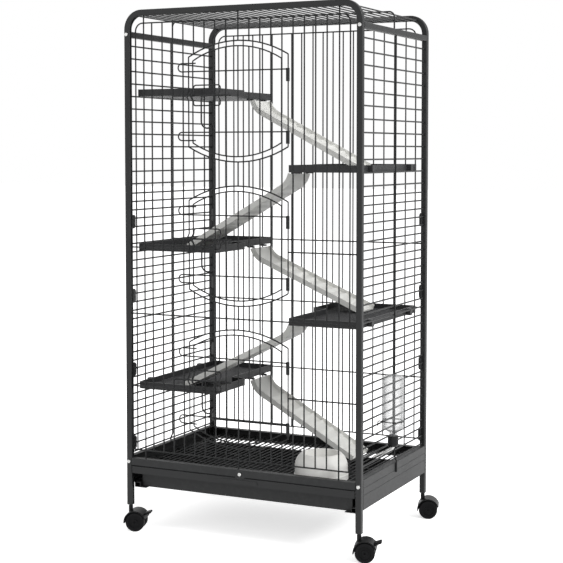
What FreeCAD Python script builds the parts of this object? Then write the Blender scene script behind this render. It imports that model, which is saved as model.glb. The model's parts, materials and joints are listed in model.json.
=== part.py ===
import FreeCAD, Part
import math
import os

# A tall wire cage on casters. Millimetres, +Z up, front of the cage toward -Y.

# Plain counts and angles.
one = 1
half_share = 0.5
full_turn = 360.0
quarter_turn = 90.0

# Overall size, wheels included in the height. The rest of the cage follows these three.
frame_width = 642.0
frame_depth = 450.0
frame_height = 1310.0

# Tube frame: two upside-down U tubes joined by side rails.
tube = 15.0
tube_wall = 1.5
tube_corner = 3.0
tube_slot = 4.0
top_bend = 48.0
leg_bottom = 65.0
top_rail_drop = 60.0

# Wire mesh. The front and back sheets share one pattern of upright wires.
wire = 3.0
panel_end_reach = 2.5
loop_left_inset = 14.6
loop_right_inset = 17.9
loop_top_drop = 33.3
loop_bottom_rise = 21.5
loop_corner = 20.0
long_left_inset = 38.0
long_right_inset = 45.2
long_middle = -4.6
left_start = -38.1
left_pitch = 29.5
right_start = 25.0
right_pitch = 29.2
cross_level_shares = (0.28206, 0.42214, 0.54962)
side_change_share = 0.67023
side_change_gap = 23.6
side_upper_pitch = 31.3
side_lower_pitch = 21.2
top_mesh_pitch = 21.0

# Middle hoop over the top and its side stays.
hoop_radius = 2.0
hoop_drop = 10.0
hoop_corner = 14.0
hoop_inset = 9.0
stay_inset = 4.0
stay_end_drop = 24.0
stay_joggle_low_rise = 4.0
stay_joggle_high_rise = 16.0
small_bend = 4.0

# Door openings and doors: three alike, the middle ones one pitch above the next.
lower_door_share = 0.29077
door_pitch_share = 0.26672
opening_corner_share = 0.3128
opening_peak_share = 0.4167
opening_left = -140.5
opening_right = 129.0
opening_wire_reach = 2.0
door_left_gap = 11.7
door_right_gap = 17.4
door_corner_gap = 9.6
door_peak_gap = 12.6
cross_share = 0.74
cross_hook_x = -168.0
cross_hook_end = -119.5
cross_hook_rise = 20.0
hook_bend = 9.9

# Hinge clips, folded round the hinge wire.
running_gap = 0.05
clip_outer = 3.6
clip_above = 2.5
clip_height = 31.0
clip_tongue = 6.0
clip_tongue_thickness = 1.3

# Latch: a sliding bolt with a long handle, held by a wire guide.
guide_left = -125.3
guide_right = -51.3
guide_low = -9.0
guide_high = 40.5
guide_corner = 8.0
bolt_rise = 15.0
bolt_left = -185.3
bolt_right = -22.6
bolt_radius = 2.0
bolt_gap = 0.2
handle_left = -101.3
handle_right = -67.6
handle_drop = 64.0
handle_bend = 16.6
handle_step = 12.0
handle_gap = 1.0
kink_half = 4.0
kink_run = 8.0
kink_out = 9.2
keeper_out = 4.5

# Base: folded rails, floor grid and pull-out tray.
rail_low = 168.0
rail_high = 185.5
sheet = 1.6
rail_lip_depth = 17.0
tab_left = -11.0
tab_right = 15.0
tab_low = 162.4
side_rail_low = 120.0
side_rail_high = 190.0
fold_upper = 170.3
fold_lower = 152.9
fold_groove = 0.6
fold_groove_height = 1.2
grid_low = 164.7
grid_side_gap = 2.0
grid_end_gap = 3.5
grid_pitch = 15.0
grid_cross_count = 5
flange_reach = 8.0
runner_low = 108.8
runner_reach = 33.0
tray_side_room = 17.0
tray_end_room = 10.0
tray_side_gap = 0.5
tray_rest_gap = 0.1
tray_wall = 1.6
tray_top = 147.5
lip_top = 165.0
lip_end_gap = 1.5
lip_notch_gap = 1.2
grip_half_width = 50.0
grip_low = 150.5
grip_high = 160.5
grip_raise = 1.2
grip_corner = 4.0

# Tabs on the posts and the round-headed frame screws.
tab_first = 205.0
tab_pitch = 187.0
tab_count = 4
tab_height = 34.0
tab_reach = 12.0
tab_chamfer = 5.0
tab_thickness = 5.2
tab_edge = 0.4
screw_radius = 4.5
screw_head = 2.4
screw_fillet = 1.4
screw_cross_width = 1.2
screw_cross_length = 4.6
screw_cross_depth = 0.8
screw_side_step = 0.5
low_screw_level = 176.0
middle_screw_x = 1.6
middle_screw_level = 174.5

# Shelves: L-shaped plastic trays, every second one turned half round.
shelf_level_shares = (0.27443, 0.41412, 0.54198, 0.69427, 0.83740)
shelf_height = 17.5
shelf_side_gap = 6.0
shelf_end_gap = 12.0
shelf_wide_x = 78.5
shelf_narrow_x = 118.5
shelf_step_y = 35.0
shelf_wall = 3.0
shelf_floor = 4.5
shelf_corner = 7.0
shelf_rib_width = 3.0
shelf_rib_height = 1.2
shelf_rib_pitch = 16.0
shelf_rib_clear = 5.0
lug_width = 14.0
lug_gap = 0.3
lug_spread = 130.0
catch_reach = 9.0
catch_width = 10.0
catch_height = 4.0

# Ramps: a rimmed plank with treads, curled up at its high end.
ramp_length = 300.0
ramp_near_y = 58.4
ramp_width = 100.0
ramp_deck = 4.0
ramp_rim = 13.5
ramp_rim_width = 4.0
ramp_curl = 58.5
ramp_curl_sweep = 48.0
ramp_end_out = 18.5
ramp_top_gap = 2.5
ramp_rest_gap = 0.2
tread_pitch = 32.0
tread_first = 18.0
tread_height = 4.5
tread_run = 9.0
tread_count = 9
catch_spread = 36.0

# Food bowl.
bowl_x = 182.6
bowl_y = -143.0
bowl_foot_radius = 66.0
bowl_foot = 12.0
bowl_step = 1.5
bowl_height = 62.0
bowl_shoulder = 30.0
bowl_rim_radius = 48.0
bowl_mouth_radius = 44.0
bowl_well_radius = 42.0
bowl_floor = 16.0

# Water bottle outside the right side.
bottle_out = 22.0
bottle_y = -76.0
bottle_radius = 25.0
bottle_wall = 2.4
bottle_low = 273.0
bottle_high = 420.0
bottle_shoulder = 5.0
bottle_neck = 9.0
bottle_slope = 9.0
cap_low = 247.0
cap_radius = 13.0
cap_neck_radius = 10.5
cap_rib_count = 18
cap_rib_radius = 0.8
cap_foot_radius = 6.0
cap_foot = 4.0
spout_radius = 4.0
spout_bend = 7.0
spout_turn_level = 243.0
spout_reach = 50.0
spout_tip_level = 215.0
spout_ball_radius = 2.9
holder_wire = 1.25
holder_level = 309.0
holder_bend = 3.0
holder_hook_inset = 11.5
holder_hook_drop = 12.0
holder_arm_offset = 16.0

# Casters: twin wheels under a curved cover.
wheel_radius = 24.0
wheel_width = 17.6
wheel_gap = 0.6
web_width = 11.6
wheel_edge = 3.0
wheel_dish = 2.4
wheel_dish_radius = 16.0
hub_radius = 7.0
axle_radius = 3.0
cover_gap = 2.2
cover_wall = 2.6
cover_start = 18.0
cover_sweep = 168.0
trail = 15.0
caster_turn = 17.5
boss_radius = 5.4
boss_top = 62.0
boss_low = 38.0
stem_radius = 4.5
stem_top = 96.0
socket_reach = 34.0
socket_fit = 0.1

# Brake lever of a front caster.
lever_reach = 31.5
lever_angle = 38.0
lever_length = 12.0
lever_width = 18.0
lever_thickness = 6.0
lever_pin = 1.4
lever_knuckle = 2.6
lever_side_gap = 0.4
ear_width = 3.0

thin = 0.02


def half(value):
    return value * half_share


def vec(x, y, z):
    return FreeCAD.Vector(x, y, z)


along_x = vec(one, 0, 0)
along_y = vec(0, one, 0)
along_z = vec(0, 0, one)
zero_point = vec(0, 0, 0)

# Places worked out from the sizes above.
post_x = half(frame_width - tube)
post_y = half(frame_depth - tube)
inner_x = post_x - half(tube)
inner_y = post_y - half(tube)
outer_x = half(frame_width)
outer_y = half(frame_depth)
tube_low = frame_height - tube
top_rail_level = frame_height - top_rail_drop
top_rail_low = top_rail_level - half(tube)
front_plane = -post_y

loop_left = -inner_x + loop_left_inset
loop_right = inner_x - loop_right_inset
loop_top = frame_height - loop_top_drop
loop_bottom = rail_high + loop_bottom_rise
long_left = -inner_x + long_left_inset
long_right = inner_x - long_right_inset
long_top = tube_low + tube_wall + panel_end_reach
panel_end = inner_x + tube_wall + panel_end_reach
cross_levels = tuple(frame_height * share for share in cross_level_shares)
hoop_level = frame_height - hoop_drop

door_pitch = frame_height * door_pitch_share
door_lower = frame_height * lower_door_share
door_levels = (door_lower + door_pitch + door_pitch, door_lower + door_pitch, door_lower)
opening_corner = door_pitch * opening_corner_share
opening_peak = door_pitch * opening_peak_share
door_left = opening_left + door_left_gap
door_right = opening_right - door_right_gap
door_corner = opening_corner - door_corner_gap
door_peak = opening_peak - door_peak_gap
cross_offset = door_corner * cross_share
hinge_point = (opening_right, front_plane)
clip_left = opening_right - clip_outer - half(wire)
cross_hinge_end = opening_right - clip_outer
cross_plane = front_plane - wire
guide_plane = cross_plane
bolt_plane = front_plane - half(wire) - bolt_radius - bolt_gap
handle_plane = guide_plane - half(wire) - bolt_radius - handle_gap

grid_high = grid_low + wire
runner_top = runner_low + sheet
tray_low = runner_top + tray_rest_gap
tray_half_width = inner_x - tray_side_room
tray_half_depth = inner_y - tray_end_room

shelf_levels = tuple(frame_height * share for share in shelf_level_shares)
shelf_outer_x = inner_x - shelf_side_gap
shelf_half_depth = inner_y - shelf_end_gap
bottle_x = outer_x + bottle_out


def box(x0, x1, y0, y1, z0, z1):
    return Part.makeBox(x1 - x0, y1 - y0, z1 - z0, vec(x0, y0, z0))


def rod(radius, start, end):
    line = end.sub(start)
    return Part.makeCylinder(radius, line.Length, start, line)


def join(shapes):
    shapes = list(shapes)
    first = shapes.pop(0)
    if not shapes:
        return first
    return first.multiFuse(shapes).removeSplitter()


def polygon(points):
    return Part.Face(Part.makePolygon(points + points[:one]))


def prism(points, direction):
    return polygon(points).extrude(direction)


def corner_cut(before, corner, after, bend):
    back = before.sub(corner)
    ahead = after.sub(corner)
    spread = back.getAngle(ahead)
    reach = bend / math.tan(half(spread))
    back.normalize()
    ahead.normalize()
    start = corner.add(vec(*back).multiply(reach))
    end = corner.add(vec(*ahead).multiply(reach))
    bisector = back.add(ahead)
    bisector.normalize()
    middle = corner.add(bisector.multiply(bend / math.sin(half(spread)) - bend))
    return start, middle, end


def bent_edges(points, bend, closed):
    pieces = []
    count = len(points)
    step = one
    corners = range(count) if closed else range(step, count - step)
    cuts = {index: corner_cut(points[index - step], points[index],
                              points[(index + step) % count], bend)
            for index in corners}
    first = cuts[0][-step] if closed else points[0]
    spot = first
    order = list(range(step, count)) + [0] if closed else list(range(step, count))
    for index in order:
        if index in cuts:
            start, middle, end = cuts[index]
            pieces.append(Part.makeLine(spot, start))
            pieces.append(Part.Arc(start, middle, end).toShape())
            spot = end
        else:
            pieces.append(Part.makeLine(spot, points[index]))
    return pieces


def bent_rod(points, bend, radius):
    spine = Part.Wire(bent_edges(points, bend, False))
    start = points[0]
    heading = points[one].sub(start)
    ring = Part.Wire([Part.makeCircle(radius, start, heading)])
    return spine.makePipeShell([ring], True, False)


def rounded_face(points, bend):
    return Part.Face(Part.Wire(bent_edges(points, bend, True)))


def flat_ring(x, y, z, radius, width, depth):
    centre = vec(x, y - half(depth), z)
    outer = Part.makeCylinder(radius + half(width), depth, centre, along_y)
    inner = Part.makeCylinder(radius - half(width), depth, centre, along_y)
    return outer.cut(inner)


def arc_band(x, y, z, inner, outer, depth, start, sweep):
    # Angles run from the +X side up over the top.
    centre = vec(x, y, z)
    corners = [vec(x + inner, y, z), vec(x + outer, y, z),
               vec(x + outer, y + depth, z), vec(x + inner, y + depth, z)]
    face = polygon(corners)
    face.rotate(centre, vec(0, -one, 0), start)
    return face.revolve(centre, vec(0, -one, 0), sweep)


def mirrored_x(shape):
    return shape.mirror(zero_point, along_x)


def mirrored_y(shape):
    return shape.mirror(zero_point, along_y)


def half_turned(shape):
    turned = shape.copy()
    turned.rotate(zero_point, along_z, half(full_turn))
    return turned


def upright(x, y, z0, z1):
    return box(x - half(wire), x + half(wire), y - half(wire), y + half(wire), z0, z1)


def level_bar(x0, x1, y, z):
    return box(x0, x1, y - half(wire), y + half(wire), z - half(wire), z + half(wire))


def tube_profile(x, y, z):
    reach = half(tube)
    inner = reach - tube_wall
    corners = [vec(x - reach, y - reach, z), vec(x + reach, y - reach, z),
               vec(x + reach, y + reach, z), vec(x - reach, y + reach, z)]
    outer = rounded_face(corners, tube_corner)
    hollow = polygon([vec(x - inner, y - inner, z), vec(x + inner, y - inner, z),
                      vec(x + inner, y + inner, z), vec(x - inner, y + inner, z)])
    slot = polygon([vec(x, y - half(tube_slot), z), vec(x + tube, y - half(tube_slot), z),
                    vec(x + tube, y + half(tube_slot), z), vec(x, y + half(tube_slot), z)])
    return outer.cut(hollow).cut(slot).Faces[0]


def tube_frame(y):
    bend_level = frame_height - top_bend
    bend_x = -outer_x + top_bend
    foot = tube_profile(-post_x, y, leg_bottom)
    leg = foot.extrude(vec(0, 0, bend_level - leg_bottom))
    shoulder = tube_profile(-post_x, y, bend_level)
    corner = shoulder.revolve(vec(bend_x, y, bend_level), along_y, quarter_turn)
    bridge = shoulder.copy()
    bridge.rotate(vec(bend_x, y, bend_level), along_y, quarter_turn)
    top = bridge.extrude(vec(-bend_x - bend_x, 0, 0))
    return join([leg, corner, top, mirrored_x(corner), mirrored_x(leg)])


def top_rail(side):
    x = side * post_x
    reach = half(tube)
    inner = reach - tube_wall
    level = top_rail_level
    corners = [vec(x - reach, -inner_y, level - reach), vec(x + reach, -inner_y, level - reach),
               vec(x + reach, -inner_y, level + reach), vec(x - reach, -inner_y, level + reach)]
    outer = rounded_face(corners, tube_corner)
    hollow = polygon([vec(x - inner, -inner_y, level - inner), vec(x + inner, -inner_y, level - inner),
                      vec(x + inner, -inner_y, level + inner), vec(x - inner, -inner_y, level + inner)])
    return outer.cut(hollow).Faces[0].extrude(vec(0, inner_y + inner_y, 0))


def arch(left, right, corner, peak):
    reach = half(right - left)
    rise = peak - corner
    radius = half((reach * reach + rise * rise) / rise)
    return half(left + right), radius, peak - radius


opening_arch = arch(opening_left, opening_right, opening_corner, opening_peak)
door_arch = arch(door_left, door_right, door_corner, door_peak)


def arch_rise(x, curve):
    centre, radius, drop = curve
    across = x - centre
    return drop + math.sqrt(radius * radius - across * across)


def arch_strip(level, curve, way, x0, x1):
    centre, radius, drop = curve
    ring = flat_ring(centre, front_plane, level + way * drop, radius, wire, wire)
    far = level + way * (radius + radius)
    low, high = min(level, far), max(level, far)
    return ring.common(box(x0, x1, front_plane - wire, front_plane + wire, low, high))


def steps(pitch, room):
    # Distances 0, pitch, twice the pitch and so on, as far as the room allows.
    return [pitch * index for index in range(int(room // pitch) + one)]


def column_places():
    left_room = left_start - long_left - half(left_pitch)
    right_room = long_right - right_start - half(right_pitch)
    left = [left_start - step for step in steps(left_pitch, left_room)]
    right = [right_start + step for step in steps(right_pitch, right_room)]
    return sorted(left + right)


def top_corner(x, y, way):
    ring = flat_ring(x + way * loop_corner, y, loop_top - loop_corner, loop_corner, wire, wire)
    x0, x1 = sorted((x - way * wire, x + way * loop_corner))
    return ring.common(box(x0, x1, y - wire, y + wire, loop_top - loop_corner, loop_top + wire))


def side_grille(loop_x, long_x, limit, opening, way):
    y = front_plane
    low, high = sorted((loop_x, opening))
    far_end = way * panel_end
    bars = [upright(x, y, loop_bottom - half(wire), loop_top)
            for x in column_places() if low < x < high]
    bars.append(upright(loop_x, y, loop_bottom, loop_top - loop_corner))
    bars.append(upright(long_x, y, rail_high, long_top))
    bars.append(top_corner(loop_x, y, -way))
    for level in cross_levels:
        near = opening_edge(level, limit, opening, way)
        bars.append(level_bar(min(far_end, near), max(far_end, near), y, level))
    bars.append(level_bar(min(far_end, limit), max(far_end, limit), y, loop_bottom))
    start = loop_x - way * loop_corner
    bars.append(level_bar(min(start, limit), max(start, limit), y, loop_top))
    return join(bars)


def opening_edge(level, limit, opening, way):
    for centre in door_levels:
        if abs(level - centre) < opening_corner:
            return opening + way * half(wire)
    return limit


def web_slice(x0, x1, low, high, low_door, high_door, levels):
    bars = []
    places = [x for x in column_places() + [long_middle] if x0 < x < x1]
    for x in places:
        bottom = low if low_door is None else low_door + arch_rise(x, opening_arch)
        top = high if high_door is None else high_door - arch_rise(x, opening_arch)
        if x == long_middle and low_door is None:
            bottom = rail_high
        if x == long_middle and high_door is None:
            top = long_top
        bars.append(upright(x, front_plane, bottom, top))
    if low_door is not None:
        bars.append(arch_strip(low_door, opening_arch, one, x0, x1))
    if high_door is not None:
        bars.append(arch_strip(high_door, opening_arch, -one, x0, x1))
    bars += [level_bar(x0, x1, front_plane, level) for level in levels]
    return join(bars)


def front_panel():
    left_limit = opening_left + half(wire)
    right_limit = opening_right - half(wire)
    upper, middle, lower = door_levels
    low_cut = half(left_start + left_start - left_pitch)
    high_cut = half(right_start + right_start + right_pitch)
    edges = (left_limit, low_cut, high_cut, right_limit)
    solids = [side_grille(loop_left, long_left, left_limit, opening_left, -one),
              side_grille(loop_right, long_right, right_limit, opening_right, one)]
    for x0, x1 in zip(edges, edges[one:]):
        solids.append(web_slice(x0, x1, loop_top, loop_top, upper, None, [loop_top]))
        solids.append(web_slice(x0, x1, 0, 0, middle, upper, []))
        between = [z for z in cross_levels if lower + opening_peak < z < middle - opening_peak]
        solids.append(web_slice(x0, x1, 0, 0, lower, middle, between))
        solids.append(web_slice(x0, x1, loop_bottom, 0, None, lower, [loop_bottom]))
    return solids


def keeper_wire(level):
    z0 = level - opening_corner - opening_wire_reach
    z1 = level + opening_corner + opening_wire_reach
    bolt = level + bolt_rise
    path = [(0, z0), (0, bolt - kink_half - kink_run), (-keeper_out, bolt - kink_half),
            (-keeper_out, bolt + kink_half), (0, bolt + kink_half + kink_run), (0, z1)]
    near = [vec(opening_left + x - half(wire), front_plane - half(wire), z) for x, z in path]
    far = [vec(opening_left + x + half(wire), front_plane - half(wire), z) for x, z in path]
    return prism(near + far[::-one], vec(0, wire, 0))


def hinge_wire(level):
    reach = opening_corner + opening_wire_reach
    x, y = hinge_point
    return rod(half(wire), vec(x, y, level - reach), vec(x, y, level + reach))


def opening_wires():
    return [keeper_wire(level) for level in door_levels] + [hinge_wire(level) for level in door_levels]


def back_panel():
    y = post_y
    bars = [upright(x, y, loop_bottom - half(wire), loop_top) for x in column_places()]
    for x in (long_left, long_middle, long_right):
        bars.append(upright(x, y, rail_high, long_top))
    for x, way in ((loop_left, one), (loop_right, -one)):
        bars.append(upright(x, y, loop_bottom, loop_top - loop_corner))
        bars.append(top_corner(x, y, way))
    for level in cross_levels + (loop_bottom,):
        bars.append(level_bar(-panel_end, panel_end, y, level))
    bars.append(level_bar(loop_left + loop_corner, loop_right - loop_corner, y, loop_top))
    return join(bars)


def mesh_sheet(across, along, place, direction):
    across = sorted(across)
    along = sorted(along)
    reach = half(wire)

    def outline(a0, a1, b0, b1):
        corners = [place(a0, b0), place(a1, b0), place(a1, b1), place(a0, b1)]
        return Part.makePolygon(corners + corners[:one])

    outer = outline(across[0] - reach, across[-one] + reach, along[0] - reach, along[-one] + reach)
    holes = [outline(a0 + reach, a1 - reach, b0 + reach, b1 - reach)
             for a0, a1 in zip(across, across[one:])
             for b0, b1 in zip(along, along[one:])]
    face = Part.Face(outer)
    cells = Part.Compound([Part.Face(hole) for hole in holes])
    return face.cut(cells).Faces[0].extrude(direction)


def side_panel(side):
    # The wires lie closer together below the change than above it.
    change = frame_height * side_change_share
    below = change - side_change_gap
    levels = [change + step for step in steps(side_upper_pitch, top_rail_low - change)]
    levels += [below - step for step in steps(side_lower_pitch, below - side_rail_high)]
    edge = inner_y - half(wire)
    x = side * post_x - half(wire)
    sheet_part = mesh_sheet([-edge, edge], levels, lambda a, b: vec(x, a, b), vec(wire, 0, 0))
    ends = [box(x, x + wire, way * edge - half(wire), way * edge + half(wire),
                side_rail_high, top_rail_low) for way in (-one, one)]
    return join([sheet_part] + ends)


def top_panel():
    edge = inner_y - half(wire)
    right = steps(top_mesh_pitch, inner_x - half(top_mesh_pitch))
    places = [-step for step in right[one:]] + right
    level = hoop_level - hoop_radius - wire
    return mesh_sheet(places, [-edge, edge], lambda a, b: vec(a, b, level), vec(0, 0, wire))


def top_hoop():
    foot = top_rail_level + half(tube)
    x = outer_x - hoop_inset
    points = [vec(-x, 0, foot), vec(-x, 0, hoop_level), vec(x, 0, hoop_level), vec(x, 0, foot)]
    return bent_rod(points, hoop_corner, hoop_radius)


def side_stay(side):
    low = side * (outer_x + hoop_radius)
    high = side * (outer_x - stay_inset)
    points = [vec(low, 0, side_rail_high - stay_end_drop), vec(low, 0, side_rail_high + stay_joggle_low_rise),
              vec(high, 0, side_rail_high + stay_joggle_high_rise), vec(high, 0, top_rail_low)]
    return bent_rod(points, small_bend, hoop_radius)


def bottom_rail():
    y = -outer_y
    face = box(-inner_x, inner_x, y, y + sheet, rail_low, rail_high)
    upper = box(-inner_x, inner_x, y, y + rail_lip_depth, rail_high - sheet, rail_high)
    lower = box(-inner_x, inner_x, y, y + sheet + sheet, rail_low, rail_low + sheet)
    return [face, upper, lower]


def front_bottom_rail():
    tab = box(tab_left, tab_right, -outer_y, -outer_y + sheet, tab_low, rail_low)
    return join(bottom_rail() + [tab])


def back_bottom_rail():
    skirt = box(-inner_x, inner_x, -outer_y, -outer_y + sheet, fold_lower, rail_low)
    return mirrored_y(join(bottom_rail() + [skirt]))


def side_rail(side):
    y0, y1 = -inner_y, inner_y
    wall = outer_x - sheet
    guard = tray_half_width + tray_side_gap
    plates = [box(wall, outer_x, y0, y1, side_rail_low, side_rail_high),
              box(inner_x - flange_reach, wall, y0, y1, grid_low - sheet, grid_low),
              box(inner_x, wall, y0, y1, side_rail_high - sheet, side_rail_high),
              box(inner_x - sheet, inner_x, y0, y1, runner_low, side_rail_low),
              box(inner_x - runner_reach, inner_x, y0, y1, runner_low, runner_top),
              box(guard, guard + sheet, y0, y1, runner_low, side_rail_low + sheet),
              box(guard, wall, y0, y1, side_rail_low, side_rail_low + sheet)]
    rail = join(plates)
    for level in (fold_upper, fold_lower):
        rail = rail.cut(box(outer_x - fold_groove, outer_x, y0, y1, level, level + fold_groove_height))
    return rail if side > 0 else mirrored_x(rail)


def floor_grid():
    edge = inner_x - grid_side_gap - half(wire)
    right = steps(grid_pitch, edge - half(grid_pitch))
    places = [-edge] + [-step for step in right[one:]] + right + [edge]
    reach = outer_y - grid_end_gap - half(wire)
    step = (reach + reach) / (grid_cross_count - one)
    rows = [-reach + step * index for index in range(grid_cross_count)]
    sheet_part = mesh_sheet(places, rows, lambda a, b: vec(a, b, grid_low), vec(0, 0, wire))
    return sheet_part.cut(Part.Compound(post_corners()))


def post_corners():
    reach_x = inner_x - wire - thin
    reach_y = inner_y - wire - thin
    far = outer_x + tube
    corners = []
    for sx in (-one, one):
        for sy in (-one, one):
            x0, x1 = sorted((sx * reach_x, sx * far))
            y0, y1 = sorted((sy * reach_y, sy * far))
            corners.append(box(x0, x1, y0, y1, 0, frame_height))
    return corners


def tray():
    w, d = tray_half_width, tray_half_depth
    pan = box(-w, w, -d, d, tray_low, tray_top)
    hollow = box(-w + tray_wall, w - tray_wall, -d + tray_wall, d - tray_wall,
                 tray_low + tray_wall, tray_top)
    front = -outer_y
    reach = inner_x - lip_end_gap
    flange = box(-reach, reach, front, -d + tray_wall, tray_top, tray_top + tray_wall)
    lip = box(-reach, reach, front, front + tray_wall, tray_top, lip_top)
    notch = box(tab_left - lip_notch_gap, tab_right + lip_notch_gap, front, front + tray_wall,
                tab_low - lip_notch_gap, lip_top)
    corners = [vec(-grip_half_width, front, grip_low), vec(grip_half_width, front, grip_low),
               vec(grip_half_width, front, grip_high), vec(-grip_half_width, front, grip_high)]
    grip = rounded_face(corners, grip_corner).extrude(vec(0, -grip_raise, 0))
    return join([pan.cut(hollow), flange, lip.cut(notch), grip])


def post_tabs():
    tabs = []
    for sx in (-one, one):
        for index in range(tab_count):
            bottom = tab_first + tab_pitch * index
            y = -inner_y
            top = bottom + tab_height
            near, far = sx * (inner_x + tab_edge), sx * (inner_x + tab_edge + tab_thickness)
            x0 = min(near, far)
            side = [vec(x0, y, bottom), vec(x0, y + tab_reach - tab_chamfer, bottom),
                    vec(x0, y + tab_reach, bottom + tab_chamfer),
                    vec(x0, y + tab_reach, top - tab_chamfer),
                    vec(x0, y + tab_reach - tab_chamfer, top), vec(x0, y, top)]
            tab = prism(side, vec(tab_thickness, 0, 0))
            tabs += [tab, mirrored_y(tab)]
    return tabs


def screw(x, level, way):
    y = way * outer_y
    head = Part.makeCylinder(screw_radius, screw_head, vec(x, y, level), vec(0, way, 0))
    rim = [edge for edge in head.Edges if abs(edge.BoundBox.YMin - y - way * screw_head) < thin
           and edge.Closed]
    head = head.makeFillet(screw_fillet, rim[:one])
    y0, y1 = sorted((y + way * (screw_head - screw_cross_depth), y + way * (screw_head + screw_head)))
    across = half(screw_cross_length)
    narrow = half(screw_cross_width)
    slots = [box(x - across, x + across, y0, y1, level - narrow, level + narrow),
             box(x - narrow, x + narrow, y0, y1, level - across, level + across)]
    return head.cut(Part.Compound(slots))


def frame_screws():
    screws = [screw(middle_screw_x, middle_screw_level, -one)]
    for x in (-post_x - screw_side_step, post_x + screw_side_step):
        for level in (low_screw_level, top_rail_level):
            for way in (-one, one):
                screws.append(screw(x, level, way))
    return screws


def shelf(level):
    corners = [vec(-shelf_outer_x, -shelf_half_depth, level),
               vec(-shelf_wide_x, -shelf_half_depth, level), vec(-shelf_wide_x, -shelf_step_y, level),
               vec(-shelf_narrow_x, -shelf_step_y, level), vec(-shelf_narrow_x, shelf_half_depth, level),
               vec(-shelf_outer_x, shelf_half_depth, level)]
    outline = rounded_face(corners, shelf_corner)
    body = outline.extrude(vec(0, 0, shelf_height))
    inset = outline.makeOffset2D(-shelf_wall)
    inset.translate(vec(0, 0, shelf_floor))
    pocket = inset.extrude(vec(0, 0, shelf_height))
    rib_area = outline.makeOffset2D(-shelf_rib_clear)
    rib_area.translate(vec(0, 0, shelf_floor - shelf_rib_height))
    bars = []
    y = -shelf_half_depth + shelf_rib_pitch
    while y < shelf_half_depth:
        bars.append(box(-shelf_outer_x, -shelf_wide_x, y - half(shelf_rib_width),
                        y + half(shelf_rib_width), level, level + shelf_floor + shelf_rib_height))
        y += shelf_rib_pitch
    ribs = rib_area.extrude(vec(0, 0, shelf_rib_height + shelf_rib_height)).common(Part.Compound(bars))
    parts = [body.cut(pocket)] + ribs.Solids + shelf_lugs(level) + shelf_catches(level)
    return join(parts)


def shelf_lugs(level):
    # Blocks at the shelf's outer edge that end just short of the side wires.
    inside = post_x - half(wire) - lug_gap
    return [box(-inside, -shelf_outer_x, y - half(lug_width), y + half(lug_width),
                level, level + shelf_height) for y in (-lug_spread, lug_spread)]


def shelf_catches(level):
    # Tongues under the narrow part's edge, over the ramp's end.
    middle = ramp_near_y + half(ramp_width)
    catches = []
    for y in (middle - catch_spread, middle + catch_spread):
        catches.append(box(-shelf_narrow_x - catch_reach, -shelf_narrow_x + catch_reach,
                           y - half(catch_width), y + half(catch_width), level - catch_height, level))
    return catches


def ramp(foot_level, shelf_level):
    # Drawn level with its foot at zero, then tilted until the curled end is under the shelf's edge.
    sweep = math.radians(ramp_curl_sweep)
    inner = ramp_curl - ramp_rim
    end_x = ramp_length + inner * math.sin(sweep)
    end_z = ramp_curl - inner * math.cos(sweep)
    reach = math.hypot(end_x, end_z)
    lean = math.asin((shelf_level - ramp_top_gap - foot_level) / reach)
    slope = lean - math.atan2(end_z, end_x)
    foot_x = -shelf_narrow_x + ramp_end_out + reach * math.cos(lean)
    far_y = ramp_near_y + ramp_width

    def run(depth, height, y):
        strip = box(-ramp_length, 0, y, y + depth, 0, height)
        curl = arc_band(-ramp_length, y, ramp_curl, ramp_curl - height, ramp_curl, depth,
                        full_turn - quarter_turn - ramp_curl_sweep, ramp_curl_sweep)
        return [strip, curl]

    parts = run(ramp_width, ramp_deck, ramp_near_y)
    parts += run(ramp_rim_width, ramp_rim, ramp_near_y)
    parts += run(ramp_rim_width, ramp_rim, far_y - ramp_rim_width)
    for index in range(tread_count):
        x = -tread_first - tread_pitch * index
        parts.append(prism([vec(x, ramp_near_y, ramp_deck), vec(x, ramp_near_y, ramp_deck + tread_height),
                            vec(x + tread_run, ramp_near_y, ramp_deck)], vec(0, ramp_width, 0)))
    shape = join(parts)
    shape.rotate(zero_point, along_y, math.degrees(slope))
    shape.translate(vec(foot_x, 0, foot_level))
    return shape


def bowl():
    base = grid_high + thin
    side = bowl_foot_radius - bowl_step
    rise, inset = bowl_height - bowl_shoulder, side - bowl_rim_radius
    bend = half(rise * rise / inset + inset)
    turn = half(math.atan2(rise, bend - inset))
    round_middle = vec(side - bend + bend * math.cos(turn), 0, bowl_shoulder + bend * math.sin(turn))
    outside = [vec(0, 0, 0), vec(bowl_foot_radius, 0, 0), vec(bowl_foot_radius, 0, bowl_foot),
               vec(side, 0, bowl_foot + bowl_step), vec(side, 0, bowl_shoulder)]
    rim = vec(bowl_rim_radius, 0, bowl_height)
    inside = [rim, vec(bowl_mouth_radius, 0, bowl_height), vec(bowl_well_radius, 0, bowl_floor),
              vec(0, 0, bowl_floor), vec(0, 0, 0)]
    edges = [Part.makeLine(a, b) for path in (outside, inside) for a, b in zip(path, path[one:])]
    edges.insert(len(outside) - one, Part.Arc(outside[-one], round_middle, rim).toShape())
    shape = Part.Face(Part.Wire(edges)).revolve(zero_point, along_z, full_turn)
    shape.translate(vec(bowl_x, bowl_y, base))
    return shape


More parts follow.
